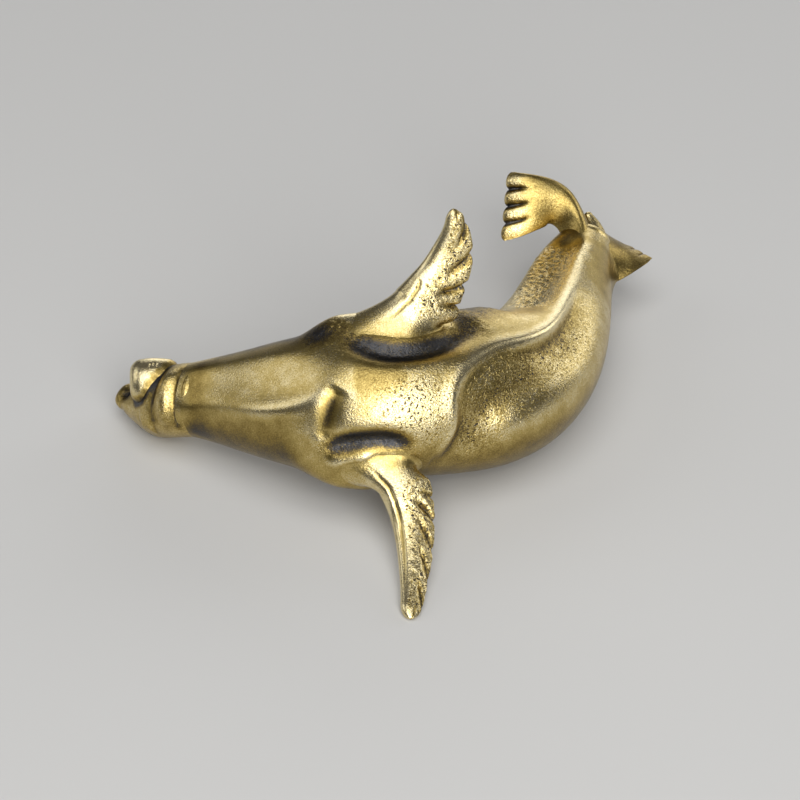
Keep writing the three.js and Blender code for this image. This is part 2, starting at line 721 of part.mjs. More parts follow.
const nape = bodyLoft.frame(0);
const headSeat = seatedOn(
  clearBody,
  headLoft.solid(headRows, headSides),
  nape.centre.clone().addScaledVector(nape.tangent, -napeRound - jointGap * 4),
  nape.centre.clone().addScaledVector(nape.tangent, headSpigot.depth - napeRound),
  headSpigot.radius,
);
sockets.push(headSeat.socket);

const jawMiddle = jawLoft.frame(jawLoft.last / 2);
const jawSeat = seatedOn(
  headLoft.solid(headRows, headSides, jointGap),
  jawLoft.solid(smallRows, smallSides),
  jawMiddle.centre,
  jawMiddle.centre.clone().addScaledVector(jawMiddle.bellyward, -jawMiddle.back - jawSpigot.depth),
  jawSpigot.radius,
);
members.lower_jaw = jawSeat.member;
members.head = headSeat.member.subtract(jawSeat.socket).subtract(table);
members.body = sockets.reduce(
  (body, socket) => body.subtract(socket),
  bodyLoft.solid(bodyRows, bodySides).subtract(table),
);

const figurine = new THREE.Group();
for (const [name, solid] of Object.entries(members)) {
  const mesh = new THREE.Mesh(geometryOf(solid), brass.clone());
  mesh.name = name;
  figurine.add(mesh);
}

export default figurine;
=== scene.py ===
# %% [markdown]
# # A small brass sea lion, lying on its back
# The figurine is one casting, rubbed bright by hand, with dark patina left in every fold.
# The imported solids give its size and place. This lesson lays a finer skin over each of them,
# worked out with numpy as surfaces of two parameters, and then gives that skin an aged brass.
# All lengths in the shape cells are millimetres, in the same frame as the solids.

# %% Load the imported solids
import json

import bpy
import numpy as np
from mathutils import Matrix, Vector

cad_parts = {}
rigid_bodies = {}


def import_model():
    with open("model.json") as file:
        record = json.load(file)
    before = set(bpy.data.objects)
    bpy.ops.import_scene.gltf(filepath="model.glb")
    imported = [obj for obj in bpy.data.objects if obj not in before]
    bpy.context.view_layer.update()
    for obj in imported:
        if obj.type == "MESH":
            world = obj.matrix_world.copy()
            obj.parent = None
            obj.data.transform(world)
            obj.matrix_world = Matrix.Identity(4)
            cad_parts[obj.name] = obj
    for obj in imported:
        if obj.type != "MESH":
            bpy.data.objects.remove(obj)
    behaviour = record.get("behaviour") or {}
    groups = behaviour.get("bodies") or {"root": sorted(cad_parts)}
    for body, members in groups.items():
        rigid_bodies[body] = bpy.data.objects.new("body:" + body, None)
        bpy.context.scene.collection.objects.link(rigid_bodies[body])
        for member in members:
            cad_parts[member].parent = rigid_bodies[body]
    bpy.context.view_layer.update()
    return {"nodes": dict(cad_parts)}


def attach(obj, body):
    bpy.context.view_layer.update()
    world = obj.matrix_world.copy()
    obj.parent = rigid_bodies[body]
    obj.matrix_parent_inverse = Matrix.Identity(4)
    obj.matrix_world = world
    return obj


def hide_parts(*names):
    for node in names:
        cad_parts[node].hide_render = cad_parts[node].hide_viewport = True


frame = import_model()
MM = 0.001
print("solids:", sorted(frame["nodes"]))

# %% [markdown]
# ## Smooth runs
# A wax model has no corners along its back, so every piece follows a smooth run through a few
# given rows. A Bezier curve would need handles for each row. A uniform cubic B-spline needs
# none and bends without kinks, which keeps the reflections in polished metal calm.

# %% Runs through rows
def unit(v):
    """Vectors brought to length one."""
    return v / np.maximum(np.linalg.norm(v, axis=-1, keepdims=True), 1e-12)


def ease(low, high, x):
    """Smooth step: 0 below low, 1 above high, and 3t^2 - 2t^3 between."""
    t = np.clip((x - low) / (high - low), 0, 1)
    return t * t * (3 - 2 * t)


def smooth_run(rows, places):
    """Uniform cubic B-spline: each place is the weighted mean of the four rows around it, and
    beyond each end a mirrored row keeps the run on its first and last row."""
    rows = np.asarray(rows, float)
    known = np.vstack([2 * rows[0] - rows[1], rows, 2 * rows[-1] - rows[-2]])
    first = np.clip(np.floor(places).astype(int), 0, len(rows) - 2)
    t = (places - first)[..., None]
    weights = (1 - t) ** 3, 3 * t**3 - 6 * t**2 + 4, -3 * t**3 + 3 * t**2 + 3 * t + 1, t**3
    return sum(w * known[first + k] for k, w in enumerate(weights)) / 6


def run_frame(rows, places):
    """Points of a run and its direction, which is a small central difference."""
    last, step = len(rows) - 1, 1e-3
    ahead = smooth_run(rows, np.minimum(places + step, last))
    behind = smooth_run(rows, np.maximum(places - step, 0))
    return smooth_run(rows, places), unit(ahead - behind)


def square_to(direction, wanted):
    """The part of a wanted direction that is square to a run's direction, at length one."""
    along = np.sum(wanted * direction, axis=-1, keepdims=True)
    return unit(wanted - along * direction)


tried = smooth_run([[0.0], [1.0], [4.0]], np.array([1.0]))
print("a run through the rows 0, 1 and 4 passes the middle one at", tried[0, 0].round(2))

# %% [markdown]
# ## Lofts
# Body, head, chin and tail are all ovals carried along a spine. Each oval has its own half width
# to the animal's right and left and its own depth to belly and back, because the throat is flat
# while the back is round. Section angle 0 is the belly, +90 the animal's left, 180 the back.
# Both ends close with a flat middle and a quarter round, as a rubbed casting does. Bevelled
# curves can't change four radii along the way, so the rings are worked out here.

# %% Loft surfaces
class Loft:
    """Ovals square to a spine. Columns of a station: x, y, z, right, left, belly, back, roll."""

    def __init__(self, stations, front_round, back_round, reshape=None):
        stations = np.array(stations, float)
        self.spine, self.sizes = stations[:, :3], stations[:, 3:]
        self.last = len(stations) - 1
        self.front_round, self.back_round, self.reshape = front_round, back_round, reshape
        self.strokes = []

    def frames(self, u):
        """Middle, direction, belly side, left side and sizes of the sections at stations u."""
        middle, along = run_frame(self.spine, u)
        size = smooth_run(self.sizes, u)
        roll = np.radians(size[..., 4])
        belly = square_to(along, np.stack([0 * roll, -np.sin(roll), np.cos(roll)], -1))
        return middle, along, belly, np.cross(belly, along), size

    def plain(self, u, turn, scale=1.0, inset=0.0, push=0.0):
        """Oval of radius 1 / hypot(sin / width, cos / depth) round the spine. A row of an end is
        drawn in by inset, shrunk by scale and pushed along the spine."""
        middle, along, belly, left, size = self.frames(u)
        sine, cosine = np.sin(np.radians(turn)), np.cos(np.radians(turn))
        width = np.where(sine > 0, size[..., 1], size[..., 0])
        depth = np.where(cosine > 0, size[..., 2], size[..., 3])
        radius = 1 / np.hypot(sine / width, cosine / depth)
        if self.reshape is not None:
            radius = self.reshape(u, turn, radius)
        radius = (radius - np.minimum(inset, 0.9 * radius)) * scale
        push = np.broadcast_to(push, radius.shape)
        return (middle + push[..., None] * along + (radius * sine)[..., None] * left
                + (radius * cosine)[..., None] * belly)

    def grid(self, rows, sides, cap=12):
        """The plain skin as rings, from the middle of one end to the middle of the other."""
        flat = np.linspace(0, 1, cap, endpoint=False)
        arc = np.linspace(0, np.pi / 2, cap, endpoint=False)
        scale = np.concatenate([flat, np.ones(cap)])
        inset = np.concatenate([np.ones(cap), 1 - np.sin(arc)])
        push = np.concatenate([np.ones(cap), np.cos(arc)])
        ends, full = np.zeros(2 * cap), np.ones(rows)
        u = np.concatenate([ends, np.linspace(0, self.last, rows), ends + self.last])
        scale = np.concatenate([scale, full, scale[::-1]])
        inset = np.concatenate([inset * self.front_round, 0 * full, inset[::-1] * self.back_round])
        push = np.concatenate([-push * self.front_round, 0 * full, push[::-1] * self.back_round])
        turn = np.linspace(-180, 180, sides, endpoint=False)
        u, scale, inset, push = (row[:, None] for row in (u, scale, inset, push))
        return self.plain(u, turn[None], scale, inset, push)

    def skin(self, rows, sides):
        """The plain rings, and the same rings lifted along their normals by the strokes."""
        plain = self.grid(rows, sides)
        return plain, plain + lift_of(self.strokes, plain)[..., None] * ring_normals(plain)

    def surface(self, u, turn):
        """Single points of the skin: the plain point plus its strokes' lift times the normal."""
        points, step, degrees = self.plain(u, turn), 0.01, 0.5
        ahead = self.plain(np.minimum(u + step, self.last), turn)
        behind = self.plain(np.maximum(u - step, 0), turn)
        round_step = self.plain(u, turn + degrees) - self.plain(u, turn - degrees)
        normals = unit(np.cross(ahead - behind, round_step))
        return points + lift_of(self.strokes, points)[..., None] * normals


def ring_normals(grid):
    """Outward normals of rings: the step along the rings crossed with the step round them."""
    round_step = np.roll(grid, -1, axis=1) - np.roll(grid, 1, axis=1)
    return unit(np.cross(np.gradient(grid, axis=0), round_step))


tube = Loft([(0, 0, 0, 2, 2, 2, 2, 0), (9, 0, 0, 2, 2, 2, 2, 0)], 0.5, 0.5).grid(5, 8)
print("a plain tube 9 long, with its two round ends, reaches", np.ptp(tube[..., 0]).round(2))

# %% [markdown]
# ## Strokes
# A sculptor presses furrows and lays welts along a line. Here a line is a run of stations and
# angles on a loft, and a stroke lifts each point of the skin by a bell curve of its distance from
# that line. Sculpt brushes would do the same by hand, but a formula gives the same skin each time.

# %% Strokes on a loft
FRONT_AND_ABOVE = np.array([0.0, -0.6, 0.8])


def line_on(loft, path, steps=6):
    """Points of the plain loft along a run of [station, angle] pairs."""
    path = smooth_run(path, np.linspace(0, len(path) - 1, (len(path) - 1) * steps + 1))
    return loft.plain(path[:, 0], path[:, 1])


def nearest_on(line, points):
    """Distance to a line of points, the side of it as seen from the front and above (right is -1)
    and the share of its length."""
    flat = points.reshape(-1, 3)
    best = np.full(len(flat), np.inf)
    side, share = np.ones(len(flat)), np.zeros(len(flat))
    for k, (start, step) in enumerate(zip(line[:-1], np.diff(line, axis=0))):
        offset = flat - start
        t = np.clip(offset @ step / (step @ step), 0, 1)
        offset = offset - t[:, None] * step
        distance = np.linalg.norm(offset, axis=1)
        nearer = distance < best
        best = np.where(nearer, distance, best)
        side = np.where(nearer, np.sign(np.cross(step, offset) @ FRONT_AND_ABOVE), side)
        share = np.where(nearer, (k + t) / (len(line) - 1), share)
    return tuple(a.reshape(points.shape[:-1]) for a in (best, side, share))


def bell(distance, width):
    """1 at no distance and falling away as exp(-(distance / width)^2)."""
    return np.exp(-((distance / width) ** 2))


def fade_ends(share, length):
    """1 along the middle of a line, and 0 at both its ends."""
    return ease(0, length, share) * (1 - ease(1 - length, 1, share))


def welt(loft, path, width, height, fade=0.15):
    """A stroke: height times a bell of the distance to a path, dying out over a share of its length
    at both ends. A furrow has a height below 0."""
    line = line_on(loft, path)

    def lift(points):
        distance, _, share = nearest_on(line, points)
        return height * bell(distance, width) * fade_ends(share, fade)
    return lift


def knob(loft, station, angle, radius, height):
    """A round boss or dimple: height times a bell of the distance to one point."""
    middle = loft.plain(np.array([station]), np.array([angle]))[0]

    def lift(points):
        return height * bell(np.linalg.norm(points - middle, axis=-1), radius)
    return lift


def lift_of(strokes, points):
    """The strokes' lifts added up."""
    return sum((stroke(points) for stroke in strokes), np.zeros(points.shape[:-1]))


level = Loft([(0, 0, 0, 2, 2, 2, 2, 0), (9, 0, 0, 2, 2, 2, 2, 0)], 0.5, 0.5)
boss = knob(level, 0.5, 0, 1.0, 0.3)(level.plain(np.array([0.5]), np.array([0.0])))
print("a boss of 0.3 mm lifts its own middle by", boss.round(2))

# %% [markdown]
# ## Cast roughness
# A sand or wax mould leaves a soft, uneven skin where no file has been. Bump in the metal alone
# would not show at the edges, so the rougher places get a real relief: a sum of plane waves in
# random directions, which has no grid of its own and no seam.

# %% Random relief
def ripple(points, size, seed, waves=24):
    """A relief of spread about 0.7: plane waves about size long, added up and divided by the root
    of their number."""
    random = np.random.default_rng(seed)
    ways = unit(random.normal(size=(waves, 3)))
    ways = ways * (2 * np.pi / size) * random.uniform(0.6, 1.5, (waves, 1))
    phases = random.uniform(0, 2 * np.pi, waves)
    total = sum(np.sin(points @ way + phase) for way, phase in zip(ways, phases))
    return total / np.sqrt(waves)


def roughen(grid, size, depth, where, seed):
    """The rings moved along their normals by a random relief, where it is wanted."""
    return grid + (depth * where * ripple(grid, size, seed))[..., None] * ring_normals(grid)


scattered = np.random.default_rng(0).uniform(0, 40, (500, 3))
print("a relief's spread:", ripple(scattered, 2.0, 1).std().round(2))

# %% [markdown]
# ## From rings to a mesh
# A grid of rings becomes a closed mesh: quads between the rings, and a fan at each pole. A fan
# would web the toes together, so the end of a hind flipper is zipped shut from edge to edge.
# Besides its points, each piece carries two numbers per point that the metal reads later: patina,
# where dirt and oxide stay, with painted shade and painted highlight added in, and pits, where
# the casting is porous.

# %% Closed meshes from rings
def ring_faces(rows, sides, zipped):
    """Faces of a first pole, rows of rings and a last pole, or a last ring that is zipped shut.
    Each quad runs up the rings and then round them, so the faces point outwards."""
    i, j = np.meshgrid(np.arange(rows - 1), np.arange(sides), indexing="ij")
    after = (j + 1) % sides
    low, high = i * sides, (i + 1) * sides
    quads = np.stack([low + j, high + j, high + after, low + after], -1)
    ring, following = np.arange(sides), (np.arange(sides) + 1) % sides
    last, half = 1 + (rows - 1) * sides, sides // 2
    first = np.stack([0 * ring, 1 + ring, 1 + following], -1)
    if zipped:
        a = np.arange(1, half - 1)
        final = (last + np.stack([sides - a, sides - a - 1, a + 1, a], -1)).tolist()
        far = last + half
        final += [[last, last + sides - 1, last + 1], [far + 1, far, far - 1]]
    else:
        final = np.stack([0 * ring + last + sides, last + following, last + ring], -1).tolist()
    return (1 + quads.reshape(-1, 4)).tolist() + first.tolist() + final


def brass_piece(name, grid, patina_and_shade, pits, zipped=False):
    """An object of the rings, from a pole to a pole or to a zipped last ring, with its oxide tone,
    which also holds painted shade and highlight, and its pits between 0 and 1 stored on its points."""
    rows, sides = grid.shape[0] - (1 if zipped else 2), grid.shape[1]

    def packed(a):
        pole = a[:0, 0] if zipped else a[-1:, 0]
        return np.concatenate([a[:1, 0], a[1:rows + 1].reshape(rows * sides, *a.shape[2:]), pole])

    faces = ring_faces(rows, sides, zipped)
    mesh = bpy.data.meshes.new(name)
    mesh.from_pydata((packed(grid) * MM).tolist(), [], faces)
    mesh.polygons.foreach_set("use_smooth", np.ones(len(faces), bool))
    for label, field in (("patina_and_shade", patina_and_shade), ("pits", pits)):
        layer = mesh.attributes.new(label, "FLOAT", "POINT")
        layer.data.foreach_set("value", packed(np.clip(field, 0, 1)).astype(np.float32))
    mesh.update()
    piece = bpy.data.objects.new(name, mesh)
    bpy.context.scene.collection.objects.link(piece)
    print(f"{name}: {len(mesh.vertices)} points, {len(faces)} faces")
    return piece


def on_table(grid):
    """The rings with no height below 0, which leaves a small flat where the casting rests."""
    return np.concatenate([grid[..., :2], np.maximum(grid[..., 2:], 0.0)], -1)


print("faces on three rings of eight points:", len(ring_faces(3, 8, False)))

# %% [markdown]
# ## Where patina stays, and painted shade
# Hands rub what stands out, and oxide stays in furrows. Darkening where the skin faces down is
# painted shade, standing in for dark surroundings that the metal would reflect there. An ambient
# occlusion node would find the furrows too, but it also darkens whatever lies near the table.
# Comparing each point with the mean of its neighbours needs only the rings, and taking the plain
# skin's own value off tells a furrow from a round body.

# %% Patina from the shape
def hollowness(grid, plain, reach):
    """How much deeper than the plain skin a point lies below the mean of the points around it, in
    mm along the normal: above 0 in furrows and below 0 on welts."""
    def dip(rings):
        padded = np.concatenate([rings[:1].repeat(reach, 0), rings, rings[-1:].repeat(reach, 0)])
        around = (np.roll(rings, reach, 1) + np.roll(rings, -reach, 1)
                  + padded[2 * reach:] + padded[:-2 * reach]) / 4
        return np.sum((around - rings) * ring_normals(plain), axis=-1)
    return dip(grid) - dip(plain)


def underside(grid):
    """1 where the skin faces the table and 0 where it faces up: the mask of the painted shade
    below.
    """
    return 1 - ease(-0.3, 0.35, ring_normals(grid)[..., 2])


def patina_and_shade_of(skin, plain, base, shade_below, in_furrows, on_welts=0.0, reach=6):
    """A base, more in furrows, less on welts, and painted shade on the underside."""
    dips = hollowness(skin, plain, reach)
    return (base + shade_below * underside(skin) + in_furrows * np.maximum(dips, 0)
            + on_welts * np.minimum(dips, 0))


print("underside of a plain tube, as a share of its points:", underside(tube).mean().round(2))

# %% [markdown]
# ## The body
# Neck, chest, belly, hip and the narrow hind body are one loft. The throat is planed flat, as if
# with a file. A boolean cut would leave a hard edge, so a soft minimum of two radii does it: the
# oval's own radius and that of a plane across it.

# %% Body: stations and the flat throat
BODY = [
    (-37.48, -5.81, 5.71, 3.9, 3.9, 3.6, 3.9, 32),
    (-34.38, -6.51, 6.31, 4.6, 4.6, 4.1, 4.4, 32),
    (-30.49, -8.41, 7.60, 5.7, 5.7, 5.0, 5.2, 32),
    (-24.99, -11.1, 9.60, 7.3, 7.3, 6.3, 6.8, 32),
    (-19.60, -12.7, 10.7, 8.1, 8.1, 7.2, 7.6, 32),
    (-14.30, -12.3, 10.6, 8.2, 8.2, 7.6, 8.1, 31),
    (-8.90, -10.1, 9.50, 8.4, 8.4, 7.8, 8.3, 29),
    (-3.50, -7.10, 8.20, 8.5, 8.1, 8.1, 8.3, 27),
    (1.00, -0.70, 7.10, 7.3, 7.0, 7.2, 7.4, 24),
    (3.80, 8.91, 6.30, 5.6, 5.7, 5.7, 6.4, 20),
    (5.51, 16.02, 7.00, 4.1, 5.0, 4.4, 5.0, 18),
    (7.01, 20.13, 8.10, 2.6, 3.3, 2.6, 3.1, 18),
]


def planed(radius, turn, middle, depth, soft):
    """The radius cut by a plane that faces one section angle, at a share of the radius there: a
    soft minimum of the oval's radius and the plane's."""
    facing = np.cos(np.radians(turn - middle))
    plane = depth * radius / np.maximum(facing, 0.15)
    h = np.clip(0.5 + 0.5 * (plane - radius) / soft, 0, 1)
    cut = plane + (radius - plane) * h - soft * h * (1 - h)
    return np.where(facing > 0.15, cut, radius)


def planed_body(u, turn, radius):
    """A flat throat from the nape to the chest, and a flat inner face along the hind body."""
    throat = ease(-0.4, 0.8, u) * (1 - ease(2.8, 4.0, u))
    inner = ease(7.2, 8.6, u) * (1 - ease(10.3, 11.0, u))
    radius = radius + (planed(radius, turn, 0, 0.9, 0.5) - radius) * throat
    return radius + (planed(radius, turn, 34, 0.8, 0.4) - radius) * inner


body = Loft(BODY, 0.7, 1.2, planed_body)
print("body loft with", len(BODY), "stations")

# %% [markdown]
# ## Keel and scoop
# On the casting a sharp ridge sweeps from the chest round the belly to the tail, with a long
# hollow beside it. Edge creases would sharpen both sides alike. A stroke that knows its side
# can drop off steeply on the right of the line and run out softly on the left.

# %% Body: the keel and its scoop
KEEL = [[5.3, -68], [5.5, -52], [5.47, -36], [5.45, -21], [5.65, -4], [6.05, 6], [6.5, 11],
        [7.1, -2], [7.6, -9], [8.25, -9], [9.0, -9], [9.8, -11], [10.5, -7]]
SCOOP = [[5.8, -56], [5.95, -40], [6.3, -27], [6.8, -21], [7.4, -22], [8.2, -25], [8.9, -26]]
KEEL_HEIGHT, KEEL_WIDTH = 0.25, 1.0
SCOOP_DEPTH, SCOOP_WIDTH, SCOOP_EDGE = 1.2, 3.4, 1.3
keel_line, scoop_line = line_on(body, KEEL), line_on(body, SCOOP)


def scoop_of(points):
    """1 in the deepest of the scoop: it falls away from the keel within its edge, on the right
    only, and is a bell of the distance to the scoop's own middle line."""
    distance, side, _ = nearest_on(keel_line, points)
    away, _, along = nearest_on(scoop_line, points)
    hollow = (side < 0) * ease(0, SCOOP_EDGE, distance) * bell(away, SCOOP_WIDTH)
    return hollow * (1 - ease(0.7, 1, along))


def keel_and_scoop(points):
    """A ridge along the keel line, lower along the hind body, less the scoop's depth."""
    distance, _, share = nearest_on(keel_line, points)
    ends = ease(0.08, 0.32, share) * (1 - 0.4 * ease(0.6, 0.8, share)) * (1 - ease(0.92, 1, share))
    return KEEL_HEIGHT * bell(distance, KEEL_WIDTH) * ends - SCOOP_DEPTH * scoop_of(points)


print("keel of", np.linalg.norm(np.diff(keel_line, axis=0), axis=1).sum().round(1), "mm")

# %% [markdown]
# ## Shoulders and furrows
# Each fore flipper has a swollen shoulder in front and a thumb-wide furrow behind it, and the
# flat throat ends in a raised edge. These are strokes on the body's loft: a path, a width, a
# height, which is below 0 for a furrow, and the share of the path that fades.

# %% Body: strokes and the skin
NEAR_ARMPIT = [[3.6, -64], [3.85, -60], [4.1, -56], [4.4, -53], [4.65, -54], [4.85, -59],
               [5.0, -66]]
FAR_ARMPIT = [[3.85, 47], [4.2, 33], [4.65, 23], [5.2, 20], [5.7, 26], [6.2, 36], [6.6, 33]]
NEAR_SHOULDER = [[2.9, -78], [3.5, -86], [4.1, -94], [4.7, -97], [5.1, -95]]
NEAR_FOLD = [[3.7, -74], [4.1, -67], [4.5, -66]]
FAR_SHOULDER = [[2.9, 58], [3.4, 63], [4.0, 66], [4.6, 66], [5.2, 63], [5.8, 58]]
FAR_FLANK = [[5.9, 58], [6.4, 62], [7.0, 62], [7.5, 58]]
THROAT_EDGE = [[4.05, -6], [3.9, -14], [3.45, -26], [2.9, -34], [2.3, -37], [1.6, -38]]
THROAT_STEP = [[4.0, -8], [3.88, -20], [3.82, -36], [3.75, -56]]
HIND_HOLLOW = [[7.9, 26], [8.7, 33], [9.6, 35], [10.7, 30]]
body.strokes = [
    welt(body, NEAR_ARMPIT, 1.05, -0.8, 0.35),
    welt(body, FAR_ARMPIT, 1.4, -1.1, 0.35),
    welt(body, NEAR_SHOULDER, 2.5, 1.6, 0.45),
    welt(body, NEAR_FOLD, 0.7, 0.4, 0.3),
    welt(body, FAR_SHOULDER, 2.1, 1.6, 0.36),
    welt(body, FAR_FLANK, 2.8, 0.9, 0.3),
    welt(body, THROAT_EDGE, 1.2, 0.32, 0.4),
    welt(body, THROAT_STEP, 1.0, -0.35),
    welt(body, HIND_HOLLOW, 1.7, -0.6, 0.2),
    keel_and_scoop,
]
body_plain, body_skin = body.skin(398, 224)
print("body strokes:", len(body.strokes))

# %% [markdown]
# ## The body's rough places
# The furrows, the shoulder beside the far one and the inner face of the hind body kept their
# cast skin, because no file reaches them. The same strokes that shape the wax can also say where
# it is rough, from 0 to 1, so a relief and the pits both follow them.

# %% Body: cast roughness
INNER_FACE = [[7.7, 26], [8.6, 36], [9.6, 38], [10.4, 36]]
SHOULDER_PATCH = [[3.2, 40], [3.6, 45], [3.9, 52], [4.0, 60]]
FLANK_PATCH = [[5.9, 46], [6.4, 50], [7.0, 50], [7.6, 44]]
inner_face = welt(body, INNER_FACE, 2.6, 1.0, 0.1)(body_plain)
furrows = lift_of([
    welt(body, FAR_ARMPIT, 1.5, 1.0, 0.1),
    welt(body, NEAR_ARMPIT, 1.1, 1.0, 0.1),
    welt(body, SHOULDER_PATCH, 1.7, 1.0, 0.2),
    welt(body, FLANK_PATCH, 2.4, 1.0, 0.2),
], body_plain)
body_skin = roughen(body_skin, 0.8, 0.08, inner_face, 5)
body_skin = on_table(roughen(body_skin, 0.7, 0.025, furrows, 6))
print("rough share of the body:", (np.maximum(inner_face, furrows) > 0.5).mean().round(3))

# %% [markdown]
# ## The body's patina
# The furrows are blue-black, the far flank is brown and the chest is rubbed bright. Some stains
# are painted shade: the valley behind the head ring, the far and the near lower side of the neck,
# the scoop's lower part, the hind body's outer face and the hollow under the far hind wrist. The
# hind keel and the inner face are lighter as a painted highlight. Painting it would need an image
# and an unwrapped skin. Stains are strokes instead, with a tone in place of a height: above 0
# darker, below 0 brighter.

# %% Body: patina and pits
CHEST = dict(station=5.0, angle=-28, radius=4.5)
stains_and_painted_light = [
    welt(body, NEAR_ARMPIT, 1.2, 0.8, 0.35),
    welt(body, [[u, turn + 3] for u, turn in FAR_ARMPIT[:6]], 1.5, 0.8, 0.35),
    welt(body, [[u, turn - 5] for u, turn in FAR_ARMPIT], 2.6, 0.22, 0.2),
    welt(body, SHOULDER_PATCH, 1.6, 0.28, 0.2),
    # neck, throat and chest
    # painted shade: the valley between the head's ring and the neck
    welt(body, [[0.75, -90], [0.75, -40], [0.75, 0], [0.75, 60]], 1.3, 0.34, 0.1),
    # painted shade: the far side of the neck
    welt(body, [[0.8, 64], [1.8, 62], [2.6, 60], [3.3, 54], [3.9, 48]], 1.9, 0.5, 0.15),
    # painted shade: the near lower side of the neck
    welt(body, [[0.8, -62], [2.3, -62], [3.4, -68]], 3.2, 0.16, 0.1),
    welt(body, [[3.9, -16], [3.85, -30], [3.8, -45]], 1.0, 0.3, 0.1),
    welt(body, [[4.15, -4], [4.5, -1], [4.9, 3]], 2.2, 0.24, 0.15),
    knob(body, **CHEST, height=-0.14),
    # belly, flank and hip
    # painted shade: the scoop's lower part is toned down
    welt(body, [[5.85, -46], [6.1, -30], [6.5, -24], [7.0, -22]], 2.2, 0.16, 0.1),
    welt(body, [[5.9, 50], [6.4, 55], [7.0, 56], [7.7, 52]], 2.6, 0.55, 0.15),
    knob(body, 7.84, 16, 1.6, 0.35),
    # hind body
    # painted highlight: lighter along the hind keel's crest and over the inner face
    welt(body, KEEL[7:], 0.8, -0.1, 0.1),
    welt(body, INNER_FACE, 2.6, -0.12, 0.1),
    # painted shade: the hind body's outer face
    welt(body, [[9.0, -48], [9.8, -50], [10.7, -50]], 2.4, 0.18, 0.1),
    # painted shadow: the hollow under the far hind flipper's wrist
    knob(body, 10.6, 40, 1.7, 0.5),
]
STREAK = 0.8
scoop = scoop_of(body_plain)
keel_distance, _, _ = nearest_on(keel_line, body_plain)
wander = 0.5 * ripple(body_plain, 3.5, 8) + 0.25 * ripple(body_plain, 1.2, 9)
streaks = scoop * np.sin(2 * np.pi * (keel_distance / STREAK + wander))
# The underside share here is painted shade: the skin is darker where it faces the table.
body_patina_and_shade = patina_and_shade_of(body_skin, body_plain, base=0.2, shade_below=0.36, in_furrows=1.2,
                        on_welts=0.9)
body_patina_and_shade = body_patina_and_shade + lift_of(stains_and_painted_light, body_plain) + 0.1 * streaks
chest_pits = knob(body, **CHEST, height=1.0)(body_plain)
body_pits = np.maximum.reduce([chest_pits, scoop, inner_face, 0.7 * furrows])
body_piece = brass_piece("body_skin", body_skin, body_patina_and_shade, body_pits)

# %% [markdown]
# ## The head
# The head lies on its crown, so its belly side is up: first the snout, then the cheeks, then a
# ring of skin at the throat with wrinkles before and behind it. A box model with subdivision
# could make it too, but a short loft meets the neck with the same ovals that the body has.

# %% Head
HEAD = [
    (-44.20, -1.20, 2.6, 1.7, 1.7, 1.2, 1.5, 8),
    (-43.29, -1.70, 2.8, 2.4, 2.3, 1.5, 2.4, 8),
    (-41.89, -2.60, 3.3, 3.1, 2.9, 1.8, 3.6, 8),
    (-40.59, -3.60, 3.9, 3.8, 3.5, 2.5, 4.4, 10),
    (-39.28, -4.71, 4.7, 4.0, 3.9, 3.7, 4.1, 18),
    (-38.38, -5.41, 5.2, 4.0, 4.0, 3.95, 3.9, 26),
    (-37.40, -5.85, 5.72, 4.05, 4.05, 3.85, 4.0, 31),
    (-36.30, -6.08, 5.94, 4.1, 4.1, 3.45, 4.05, 32),
]
head = Loft(HEAD, 1.2, 0.6)
head.strokes = [
    # throat ring, the wrinkle behind it, a low second ring and the wrinkle in front
    welt(head, [[5.3, -75], [5.5, -40], [5.7, 0], [6.0, 50]], 0.75, 0.45, 0.3),
    welt(head, [[6.1, -75], [6.25, -40], [6.4, 0], [6.6, 50]], 0.32, -0.4, 0.25),
    welt(head, [[6.8, -25], [6.85, 0], [6.9, 25], [6.95, 50]], 0.5, 0.16, 0.4),
    welt(head, [[4.5, -60], [4.6, -30], [4.7, 0], [4.9, 40]], 0.55, -0.4, 0.3),
    # cheek, and the two dimples of the mouth's pocket
    welt(head, [[4.4, -85], [3.8, -88], [3.2, -92]], 1.2, 0.35, 0.3),
    knob(head, 0.9, 10, 0.9, -0.6),
    knob(head, 0.5, -35, 0.7, -0.4),
]
head_plain, head_skin = head.skin(150, 160)
head_skin = on_table(head_skin)
print("head of", np.ptp(head_skin[..., 0]).round(1), "mm along x")

# %% [markdown]
# ## The chin
# The chin is a bulb of its own, set on the snout with a dark gap for the mouth. It could be part
# of the head's loft, but then the gap would need a cut. As a second short loft it keeps the gap
# by itself. A fine crease and three small pits are pressed into it.

# %% Chin
JAW = [
    (-42.30, -3.85, 6.60, 2.45, 2.60, 1.85, 1.95, 32),
    (-41.40, -3.85, 6.65, 2.55, 2.75, 1.90, 2.05, 32),
    (-39.90, -4.10, 6.75, 2.20, 2.70, 1.60, 1.75, 32),
]
CHIN_PITS = ((0.9, 40), (1.2, 46), (1.5, 44))
jaw = Loft(JAW, 1.4, 1.5)
jaw.strokes = [welt(jaw, [[1.95, -80], [1.75, -50], [1.7, -20], [1.9, 5]], 0.18, -0.15)]
jaw.strokes += [knob(jaw, station, angle, 0.16, -0.12) for station, angle in CHIN_PITS]
jaw_plain, jaw_skin = jaw.skin(70, 120)
print("chin of", np.ptp(jaw_skin[..., 0]).round(1), "mm along x")

# %% [markdown]
# ## Patina of head and chin
# Dirt collects where two members meet. The shape alone can't show that, because each skin is a
# mesh of its own, so each point also measures how near the other loft's skin is.

# %% Head and chin: patina and meshes
def near_to(points, loft):
    """1 against another loft's skin and 0 a millimetre away from it: the gaps where
    dirt stays. The distance is to the loft's points, thinned out."""
    others = loft.grid(20, 24, 3).reshape(-1, 3)
    flat = points.reshape(-1, 3)
    nearest = np.full(len(flat), np.inf)
    for other in others:
        nearest = np.minimum(nearest, np.linalg.norm(flat - other, axis=1))
    return 1 - ease(0.2, 0.9, nearest.reshape(points.shape[:-1]))


